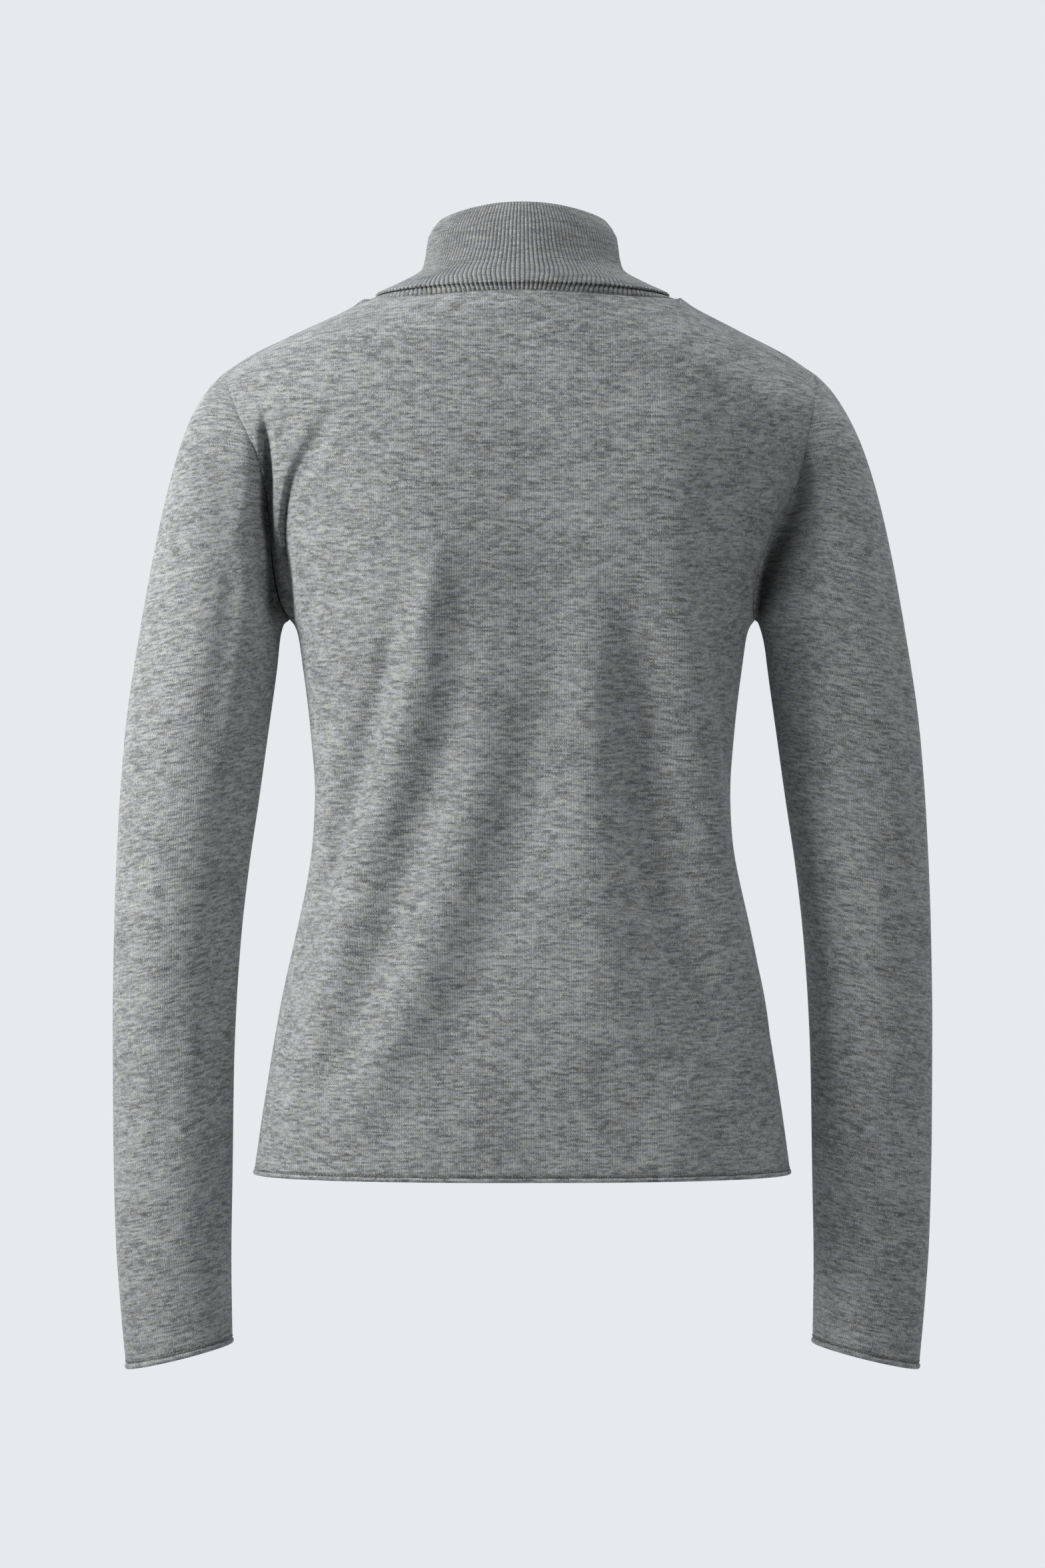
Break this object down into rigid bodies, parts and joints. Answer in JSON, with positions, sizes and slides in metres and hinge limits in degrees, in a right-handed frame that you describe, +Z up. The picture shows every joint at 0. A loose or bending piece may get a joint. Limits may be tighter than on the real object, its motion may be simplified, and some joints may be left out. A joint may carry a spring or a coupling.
{
  "type": "turtleneck sweater",
  "caption": "Fine-knit turtleneck sweater in worn form, with set-in sleeves, a folded rib collar and rolled hem and cuffs, hollow and open at neck, hem and cuffs.",
  "frame": {"origin": "middle of the neck opening, level with the neck seam at its sides", "axes": "+Z up, +X towards the wearer's left, -Y towards the wearer's front, so the back faces +Y"},
  "size_m": [0.5424, 0.2175, 0.7665],
  "materials": {
    "plain_knit": "matte heather grey fine wool jersey knit",
    "rib_knit": "matte heather grey fine wool rib knit"
  },
  "bodies": {
    "root": {"back": "plain_knit", "front": "plain_knit", "sleeve_left": "plain_knit", "sleeve_right": "plain_knit", "collar": "rib_knit"}
  },
  "joints": []
}
